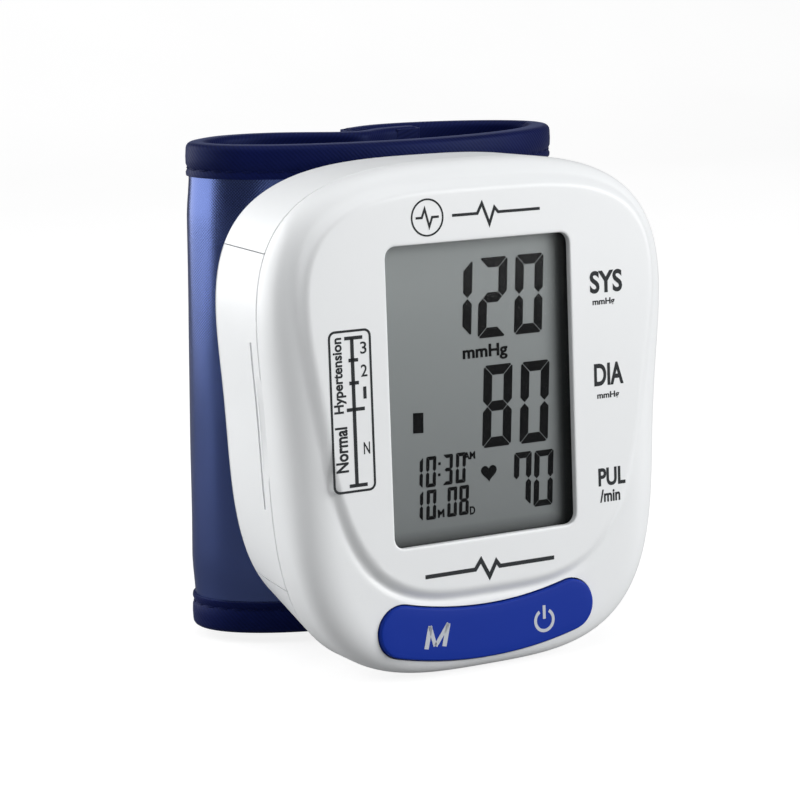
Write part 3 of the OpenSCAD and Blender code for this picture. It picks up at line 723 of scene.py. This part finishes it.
SEGMENTS = {"0": "abcdef", "1": "bc", "2": "abged", "3": "abgcd", "7": "abcf", "8": "abcdefg"}


def digit(char, x, h, w, tall, t):
    """Mitred seven-segment strokes in a cell whose lower left corner is (x, h)."""
    g, nick = t * 0.055, 0.13 * t
    top, mid, foot = tall, tall / 2, 0.0

    def bar(z, s):
        return [(nick * 2.2, z), (w - nick * 2.2, z), (w - nick - g, z - s * nick), (w - t - g, z - s * t),
                (t + g, z - s * t), (nick + g, z - s * nick)]

    def middle():
        return [(t / 2 + g, mid), (t + g, mid + t / 2), (w - t - g, mid + t / 2), (w - t / 2 - g, mid),
                (w - t - g, mid - t / 2), (t + g, mid - t / 2)]

    def post(right, upper):
        end, s = (top, 1) if upper else (foot, -1)
        shape = [(0, end - s * (nick * 2.2)), (nick, end - s * (nick + g)), (t, end - s * (t + g)),
                 (t, mid + s * (t / 2 + g)), (t / 2, mid + s * g), (0, mid + s * (t / 2 + g))]
        return [(w - px, pz) for px, pz in shape] if right else shape

    shapes = {"a": lambda: bar(top, 1), "d": lambda: bar(foot, -1), "g": middle,
              "b": lambda: post(True, True), "c": lambda: post(True, False),
              "f": lambda: post(False, True), "e": lambda: post(False, False)}
    return [[(x + px + pz * DIGIT_LEAN, h + pz) for px, pz in shapes[s]()] for s in SEGMENTS[char]]


def build_display():
    w, hh = WINDOW_W / 2 + 1.2, WINDOW_H / 2 + 1.2
    hc = WINDOW_Z / math.cos(LEAN)
    rings = []
    for inset, d in ((0, 3.9), (0, 2.3), (0.1, 2.2)):
        pts = []
        for sx, sh, a0 in ((1, 1, 0), (-1, 1, 90), (-1, -1, 180), (1, -1, 270)):
            for k in range(7):
                a = math.radians(a0 + 90 * k / 6)
                pts.append((WINDOW_X + sx * (w - 0.8) + (0.8 - inset) * math.cos(a), d,
                            hc + sh * (hh - 0.8) + (0.8 - inset) * math.sin(a)))
        rings.append(on_face(pts))
    panel = loft("display_glass", rings, "lcd_grey")
    finish_piece(panel, "case", "lcd_grey", "lcd_panel")

    polys = []
    for reading in (("1", -3.5, 48.5, 2.2, 11.0, 1.5), ("2", -0.2, 48.1, 4.8, 11.5, 1.45),
                    ("0", 6.0, 48.1, 4.8, 11.5, 1.45), ("8", 0.0, 32.2, 4.9, 11.9, 1.45),
                    ("0", 6.4, 32.1, 4.9, 11.9, 1.45), ("7", 5.0, 23.0, 3.0, 7.9, 0.9),
                    ("0", 8.5, 22.6, 3.3, 8.2, 0.9)):
        polys += digit(*reading)
    for c, x in zip("1030", (-11.9, -9.7, -6.9, -4.7)):
        polys += digit(c, x, 27.6, 1.65, 4.4, 0.52)
    polys += [[(-7.6, 29.0), (-7.2, 29.0), (-7.2, 29.4), (-7.6, 29.4)],
              [(-7.5, 30.6), (-7.1, 30.6), (-7.1, 31.0), (-7.5, 31.0)]]
    for c, x in zip("1008", (-12.0, -9.8, -6.3, -4.3)):
        polys += digit(c, x, 22.9, 1.6, 4.3, 0.52)
    polys.append([(-11.5, 35.6), (-9.8, 35.5), (-9.7, 38.4), (-11.4, 38.5)])
    heart = []
    for k in range(48):
        a = 2 * math.pi * k / 48
        heart.append((1.0 + 0.083 * 16 * math.sin(a) ** 3,
                      28.6 + 0.083 * (13 * math.cos(a) - 5 * math.cos(2 * a)
                                      - 2 * math.cos(3 * a) - math.cos(4 * a))))
    polys.append(heart)
    segs = prism("display_segments", polys, SEGMENT_DEPTH, 0.03, "segment")
    finish_piece(segs, "case", "lcd_grey")
    for name, text, x, h, tall, wide in (("unit_mmhg", "mmHg", 1.0, 46.0, 2.4, 7.6),
                                         ("clock_am", "AM", -2.2, 31.4, 1.1, 1.9),
                                         ("date_m", "M", -7.3, 23.6, 1.2, 1.1),
                                         ("date_d", "D", -2.0, 23.4, 1.2, 0.9)):
        finish_piece(lettering(name, text, x, h, tall, wide, 0.03, SEGMENT_DEPTH, "segment"),
                     "case", "lcd_grey")


def build_print():
    for name, text, x, h, tall, wide in (("label_sys", "SYS", 20.8, 54.8, 3.3, 5.7),
                                         ("label_dia", "DIA", 20.9, 41.2, 3.3, 5.2),
                                         ("label_pul", "PUL", 21.0, 26.0, 2.7, 4.8),
                                         ("label_sys_unit", "mmHg", 20.3, 51.8, 1.2, 3.9),
                                         ("label_dia_unit", "mmHg", 20.7, 38.0, 1.2, 3.9),
                                         ("label_pul_unit", "/min", 20.6, 23.2, 1.9, 3.6)):
        finish_piece(lettering(name, text, x, h, tall, wide, 0.028, PRINT_DEPTH, "ink"),
                     "case", "case_white")
    # the scale's rounded frame, its bar and the bar's ticks
    box = []
    lo, hi, r = (-25.8, 28.9), (-19.3, 51.4), 0.9
    for cx, ch, a0 in ((hi[0] - r, hi[1] - r, 0), (lo[0] + r, hi[1] - r, 90), (lo[0] + r, lo[1] + r, 180),
                       (hi[0] - r, lo[1] + r, 270)):
        box += [(cx + r * math.cos(a), ch + r * math.sin(a))
                for a in (math.radians(a0 + 15 * k) for k in range(7))]
    polys = stroke(box + [box[0]], 0.34)
    bar = -22.2
    polys += stroke([(bar, 29.7), (bar, 50.4)], 0.55)
    for h, wide in ((50.4, 1.7), (47.3, 0.9), (44.1, 0.9), (40.4, 1.7), (29.7, 1.7)):
        polys += stroke([(bar - wide * 0.7, h), (bar + wide, h)], 0.5)
    # the pulse badge, then a pulse line above the window and one below
    mx, mh = -9.3, 66.2
    polys += ring_strokes(mx, mh, 2.55, 0.26, n=56)
    polys += stroke([(mx - 1.9, mh), (mx - 0.9, mh), (mx - 0.4, mh + 1.2),
                     (mx + 0.3, mh - 1.3), (mx + 0.8, mh), (mx + 1.9, mh)], 0.34)
    polys += stroke([(-5.2, 66.2), (-1.0, 66.2), (-0.2, 67.6), (1.0, 64.6), (1.9, 66.9), (2.5, 66.2),
                     (9.6, 66.2)], 0.42)
    polys += stroke([(-11.6, 15.2), (-3.2, 15.2), (-2.2, 16.5), (-0.8, 13.9), (0.4, 16.0), (1.0, 15.2),
                     (10.4, 15.2)], 0.6)
    finish_piece(prism("face_print", polys, PRINT_DEPTH, 0.05, "ink"), "case", "case_white")
    for i, (t, h, wide) in enumerate((("3", 48.9, 1.0), ("2", 45.7, 1.0), ("1", 42.6, 0.5),
                                      ("N", 34.8, 1.0))):
        finish_piece(lettering(f"scale_{i}", t, -20.4, h, 1.7, wide, 0.01, PRINT_DEPTH, "ink"),
                     "case", "case_white")
    for name, text, h, wide in (("scale_high", "Hypertension", 45.3, 10.6),
                                ("scale_normal", "Normal", 34.9, 6.4)):
        finish_piece(lettering(name, text, -24.4, h, 2.0, wide, 0.03, PRINT_DEPTH, "ink", turn=90),
                     "case", "case_white")
    letter = stroke([(-11.75, 4.75), (-10.95, 8.0)], 0.72) + stroke([(-8.75, 4.75), (-7.95, 8.0)], 0.72)
    letter += stroke([(-11.05, 8.0), (-10.25, 5.0)], 0.62) + stroke([(-10.2, 5.0), (-7.9, 8.0)], 0.62)
    finish_piece(prism("button_m_mark", letter, MARK_DEPTH, 0.06, "ink_light"), "button", "button_blue")
    power = ring_strokes(8.5, 6.1, 1.55, 0.48, 122, 418, 44) + stroke([(8.5, 6.3), (8.5, 8.3)], 0.48)
    finish_piece(prism("button_power_mark", power, MARK_DEPTH, 0.06, "ink_light"),
                 "button", "button_blue")


# ---------------------------------------------------------------- cuff
WING_END, FLAP_END = 68.0, 91.0     # degrees round the loop
PINCH, PINCH_T, PINCH_AFTER, PINCH_BEFORE = 4.6, 93.0, 17, 11


def pinch(t):
    """How far the pulled-tight flap draws both strips inwards at its end."""
    u = np.asarray(t, float) - PINCH_T
    shape = np.where(u > 0, np.exp(-(u / PINCH_AFTER) ** 2), 1 / (1 + (u / PINCH_BEFORE) ** 2))
    return PINCH * shape * ease((150 - t) / 20) * ease(t / 30)


def loop_point(t, depth):
    """The point at angle t of the cuff's loop, depth mm in from its outer face."""
    depth = depth + pinch(t)
    t = np.radians(t)
    a, b = LOOP_W / 2, np.where(np.sin(t) > 0, LOOP_FAR, LOOP_D / 2)
    u, v = np.cos(t) / a, np.sin(t) / b
    m = np.hypot(u, v)
    return LOOP_X + a * np.cos(t) - depth * u / m, LOOP_Y + b * np.sin(t) - depth * v / m


def wing_in(t):
    """How far the wing steps inwards to run under the flap."""
    return 4.6 * ease((142 - t) / 50)


def arc_steps(t0, t1, n):
    """Angles from t0 to t1 at even distances along the loop."""
    t = np.linspace(t0, t1, 2000)
    x, y = loop_point(t, 0)
    s = np.concatenate([[0], np.cumsum(np.hypot(np.diff(x), np.diff(y)))])
    return np.interp(np.linspace(0, s[-1], n), s, t), s[-1]


def inner_depth(t, left):
    """Depth of the lining's inner face: the bladder's padding thins out in the two ends."""
    return 3.3 - (0.5 if left else 0.95) * ease((184 - t) / 14 if left else (t + 4) / 14)


def sweep(name, t0, t1, section, material, left, n=150):
    """Sweeps a closed (height, depth) section along the loop between two angles."""
    ts, length = arc_steps(t0, t1, n)
    rings, uvs = [], []
    for i, t in enumerate(ts):
        z, d = section(t)
        d = d + (wing_in(t) if left else 0)
        x, y = loop_point(np.full(len(z), t), d)
        rings.append(np.stack([x, y, z], 1))
        uvs.append(np.stack([np.full(len(z), length * i / (n - 1)), z], 1))
    m = len(rings[0])
    faces = ring_faces(m, n)
    faces.append(tuple(range(m)))
    faces.append(tuple(range((n - 1) * m, n * m)))
    return make_object(name, np.concatenate(rings), faces, material, 40, np.concatenate(uvs))


def soft(t, z, size, amount, seed):
    """Gentle unevenness of sewn cloth."""
    return np.array([noise.noise(Vector((t / 9.0 + seed, zz / size, seed * 1.7))) for zz in z]) * amount


def sheet_section(depth, puff, seed):
    """A thin sheet, crowned by puff towards the outside where puff is positive."""
    z0, z1 = CUFF_Z + SHEET_IN, CUFF_TOP - SHEET_IN

    def section(t):
        k = np.linspace(0, 1, 44)
        z = z0 + (z1 - z0) * k
        crown = puff * ease((np.minimum(z - CUFF_Z, CUFF_TOP - z) - 4.0) / 7)
        d = depth(t) - crown + soft(t, z, 16.0, 0.10, seed) * np.minimum(1, 12 * k * (1 - k))
        return np.concatenate([z, z[::-1]]), np.concatenate([d, (d + SHEET_THICK)[::-1]])
    return section


def pad_section(back, seed):
    """The padding between cover and lining, thinner towards its top and foot."""
    def section(t):
        k = np.linspace(0, 1, 30)
        z = CUFF_Z + 1.4 + (CUFF_H - 2.8) * k
        fill = 1 - np.abs(2 * k - 1) ** 4
        mid = (0.95 + back(t) - 0.5) / 2
        half = (back(t) - 1.45) / 2 * (0.45 + 0.55 * fill) + soft(t, z, 14.0, 0.04, seed)
        return np.concatenate([z, z[::-1]]), np.concatenate([mid - half, (mid + half)[::-1]])
    return section


def patch_section(inset, depth, seed):
    """A fastener patch: a dense pile with rounded borders, inset mm from the cuff's rims."""
    z0, z1 = CUFF_Z + inset, CUFF_TOP - inset

    def section(t):
        k = np.linspace(0, 1, 60)
        z = z0 + (z1 - z0) * k
        edge = np.minimum(1, 40 * k * (1 - k))
        pile = np.array([noise.noise(Vector((t * 1.9, zz * 1.6, seed))) for zz in z]) * 0.08
        d = depth + PATCH_THICK * 0.5 * (1 - edge) + pile * edge
        return np.concatenate([z, z[::-1]]), np.concatenate([d, np.full(60, depth + PATCH_THICK)])
    return section


def hem_section(z_rim, back_depth, top):
    """Tape folded over the rim: outer leg with a recessed seam line, rounded fold, inner leg."""
    s = 1 if top else -1

    def section(t):
        b = back_depth(t) + 0.3
        legs = []
        for off in (0.0, HEM_TAPE):
            outside = off == 0
            o, i, r = -0.08 + off, b - off, 0.9 - off * 0.8
            rim = z_rim + s * (0.25 - off)
            pts = [(z_rim - s * HEM_H, o), (z_rim - s * (HEM_H - 0.45), o - 0.04),
                   (z_rim - s * (HEM_H - 1.1), o + 0.24 * outside),
                   (z_rim - s * (HEM_H - 1.7), o - 0.04),
                   (z_rim - s * HEM_H * 0.4, o - 0.07 * outside), (rim - s * r, o)]
            pts += [(rim - s * r * (1 - math.sin(a)), o + r * (1 - math.cos(a)))
                    for a in np.radians([22.5, 45, 67.5, 90])]
            pts += [(rim - s * r * (1 - math.sin(a)), i - r * (1 - math.cos(a)))
                    for a in np.radians([90, 67.5, 45, 22.5, 0])]
            pts += [(z_rim - s * HEM_INNER * 0.5, i), (z_rim - s * HEM_INNER, i)]
            legs.append(pts)
        loop = legs[0] + legs[1][::-1]
        return np.array([p[0] for p in loop]), np.array([p[1] for p in loop])
    return section


def end_hem(name, t_end, sign, back_depth, left):
    """Tape folded over the strip's free vertical end."""
    pair = np.array(loop_point(np.array([t_end - 0.5, t_end + 0.5]), np.zeros(2)))
    per_mm = 1.0 / np.hypot(pair[0, 1] - pair[0, 0], pair[1, 1] - pair[1, 0])
    o, i, r, reach = -0.34, back_depth(t_end) + 0.34, 0.8, 4.2
    path = [(-reach, o), (-reach / 2, o), (-0.2, o)]
    path += [(-0.2 + r * math.sin(a), o + r * (1 - math.cos(a))) for a in np.radians([30, 60, 90])]
    path += [(-0.2 + r * math.sin(a), i - r * (1 - math.cos(a))) for a in np.radians([90, 60, 30, 0])]
    path += [(-reach / 2, i), (-reach, i)]
    inside = [(-reach, o + 0.4), (-0.3, o + 0.4), (0.15, o + 0.8),
              (0.15, i - 0.8), (-0.3, i - 0.4), (-reach, i - 0.4)]
    loop = path + inside[::-1]
    zs = np.linspace(CUFF_Z, CUFF_TOP, 60)
    along, d = np.array(loop).T
    t = t_end + sign * per_mm * along
    x, y = loop_point(t, d + (wing_in(t) if left else 0))
    n = len(loop)
    rings = [np.stack([x, y, np.full(n, z)], 1) for z in zs]
    faces = ring_faces(n, len(zs)) + [tuple(range(n)), tuple(range((len(zs) - 1) * n, len(zs) * n))]
    uv = np.concatenate([np.stack([np.arange(n) * 0.6, np.full(n, z)], 1) for z in zs])
    return make_object(name, np.concatenate(rings), faces, "cuff_binding", 40, uv)


def stitches(name, t0, t1, left):
    """Two rows of stitches, along the seam lines of the top and the foot hem."""
    count = int(arc_steps(t0, t1, 2)[1] / STITCH_PITCH)
    ts, _ = arc_steps(t0, t1, count * 2 + 1)
    verts, faces, uv = [], [], []
    ring = 6
    for z in (CUFF_TOP - STITCH_IN, CUFF_Z + STITCH_IN):
        for i in range(count):
            tc = ts[2 * i + 1]
            d = STITCH_DEPTH + (wing_in(tc) if left else 0)
            p = np.array([*loop_point(tc, d), z])
            q = np.array([*loop_point(tc + 0.2, d), z])
            along = (q - p) / np.linalg.norm(q - p)
            out = np.array([along[1], -along[0], 0.0])
            if np.dot(out[:2], p[:2] - np.array([LOOP_X, LOOP_Y])) < 0:
                out = -out
            base = len(verts)
            for k, (u, w) in enumerate(((-0.5, 0.25), (-0.36, 0.8), (0, 1.0), (0.36, 0.8), (0.5, 0.25))):
                for j in range(ring):
                    a = 2 * math.pi * j / ring
                    rise = np.array([0, 0, STITCH_R * w * math.sin(a)])
                    verts.append(p + along * STITCH_LONG * u + out * (STITCH_R * w * math.cos(a)) + rise)
                    uv.append((u, a))
            faces += [tuple(base + f for f in face) for face in ring_faces(ring, 5)]
            faces += [tuple(base + k for k in range(ring)), tuple(base + 4 * ring + k for k in range(ring))]
    return make_object(name, np.array(verts), faces, "thread", 60, np.array(uv))


def across(obj):
    """Bakes a strip of the cuff's transform into its mesh."""
    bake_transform(obj)
    return obj


def cuff_piece(obj, slot, left, *nodes):
    if nodes:
        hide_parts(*nodes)
    return across(obj)


def build_cuff():
    for left in (True, False):
        side = "wing" if left else "flap"
        t0, t1 = (WING_END + 0.8, 270.0) if left else (-90.0, FLAP_END - 0.8)
        end, sign = (WING_END, -1) if left else (FLAP_END, 1)
        seed = 3.1 if left else 8.4
        back = lambda t, left=left: inner_depth(t, left)
        cover = sweep(f"cuff_cover_{side}", t0, t1, sheet_section(lambda t: 0.32, 0.42, seed),
                      "cuff_navy", left)
        cuff_piece(cover, "cuff_navy", left, "cuff_cover", f"{side}_cover")
        lining = sweep(f"cuff_lining_{side}", t0, t1,
                       sheet_section(lambda t, b=back: b(t) - SHEET_THICK, -0.35, seed + 20),
                       "cuff_lining", left)
        cuff_piece(lining, "cuff_lining", left, "cuff_lining", f"{side}_lining")
        core = sweep(f"cuff_padding_{side}", t0 + (1.5 if left else 0), t1 - (0 if left else 1.5),
                     pad_section(back, seed + 40), "cuff_foam", left)
        cuff_piece(core, "cuff_foam", left, f"{side}_pad", "bladder", "cuff_plate")
        for top in (True, False):
            rim = CUFF_TOP if top else CUFF_Z
            hem = sweep(f"cuff_hem_{side}_{'top' if top else 'foot'}", t0, t1,
                        hem_section(rim, back, top), "cuff_binding", left)
            cuff_piece(hem, "cuff_binding", left, "cuff_hems", f"{side}_hems")
        cuff_piece(end_hem(f"cuff_end_{side}", end, sign, back, left),
                                "cuff_binding", left)
        cuff_piece(stitches(f"cuff_stitches_{side}", t0, t1, left),
                                "cuff_binding", left)
    loop = sweep("fastener_loop", WING_END + 5, FLAP_END + 24,
                 patch_section(8, -0.55, 11.0), "fastener_pile", True, n=70)
    finish_piece(loop, "wing", "fastener_pile", "loop_patch")
    hook = sweep("fastener_hook", 34, FLAP_END - 5,
                 patch_section(9, 2.75, 17.0), "fastener_pile", False, n=70)
    finish_piece(hook, "flap", "fastener_pile", "hook_patch")


build_front_cover()
build_rear_case()
build_door()
build_button()
build_display()
build_print()
build_cuff()


# ---------------------------------------------------------------- CAD nodes that stay
slots = {s["node"]: s["material_slot"] for s in frame["record"]["subparts"]}
for name, obj in frame["nodes"].items():
    obj.data.materials.clear()
    obj.data.materials.append(MAT[slots[name]])


# ---------------------------------------------------------------- stage and light
def build_stage():
    mat, nt, b = new_material("pale_floor")
    v = coords(nt, 1.0)
    nt.links.new(ramp(nt, noise_node(nt, v, 9.0), [(0.3, (0.22, 0.22, 0.22)), (0.7, (0.25, 0.25, 0.25))]),
                 b.inputs["Base Color"])
    b.inputs["Roughness"].default_value = 0.8
    b.inputs["Emission Color"].default_value = (1, 1, 1, 1)
    path = nt.nodes.new("ShaderNodeLightPath")
    nt.links.new(to_range(nt, path.outputs["Is Camera Ray"], 0.06, 0.84), b.inputs["Emission Strength"])
    MAT["floor"] = mat
    arc = [math.radians(a) for a in range(10, 91, 10)]
    ys = [-900, 500] + [500 + BACKDROP_R * math.sin(a) for a in arc] + [800]
    zs = [FLOOR_Z, FLOOR_Z] + [FLOOR_Z + BACKDROP_R * (1 - math.cos(a)) for a in arc] + [1400]
    verts = [(x, y, z) for y, z in zip(ys, zs) for x in (-1600, 1600)]
    faces = [(2 * i, 2 * i + 1, 2 * i + 3, 2 * i + 2) for i in range(len(ys) - 1)]
    floor = make_object("floor", verts, faces, "floor", 60)


def area(name, where, target, w, h, power):
    data = bpy.data.lights.new(name, "AREA")
    data.shape, data.size, data.size_y, data.energy = "RECTANGLE", w, h, power
    obj = bpy.data.objects.new(name, data)
    obj.location = where
    obj.rotation_euler = (Vector(target) - Vector(where)).to_track_quat("-Z", "Y").to_euler()
    bpy.context.scene.collection.objects.link(obj)


def build_light():
    world = bpy.data.worlds.new("studio")
    world.use_nodes = True
    nt = world.node_tree
    bg = nt.nodes["Background"]
    bg.inputs["Color"].default_value = (0.97, 0.985, 1.0, 1)
    path = nt.nodes.new("ShaderNodeLightPath")
    nt.links.new(to_range(nt, path.outputs["Is Camera Ray"], 0.13, 1.0), bg.inputs["Strength"])
    bpy.context.scene.world = world
    bpy.context.scene.view_settings.view_transform = "Standard"
    area("softbox_left", (-0.28, 0.17, 0.18), (0, 0, 0.18), 0.5, 0.35, 1.75)
    area("softbox_right", (0.62, -0.62, 0.30), (0, 0, 0.04), 0.6, 0.7, 8.5)
    area("softbox_top", (-0.05, -0.1, 0.8), (0, 0, 0.04), 0.8, 0.8, 2.9)


build_stage()
build_light()
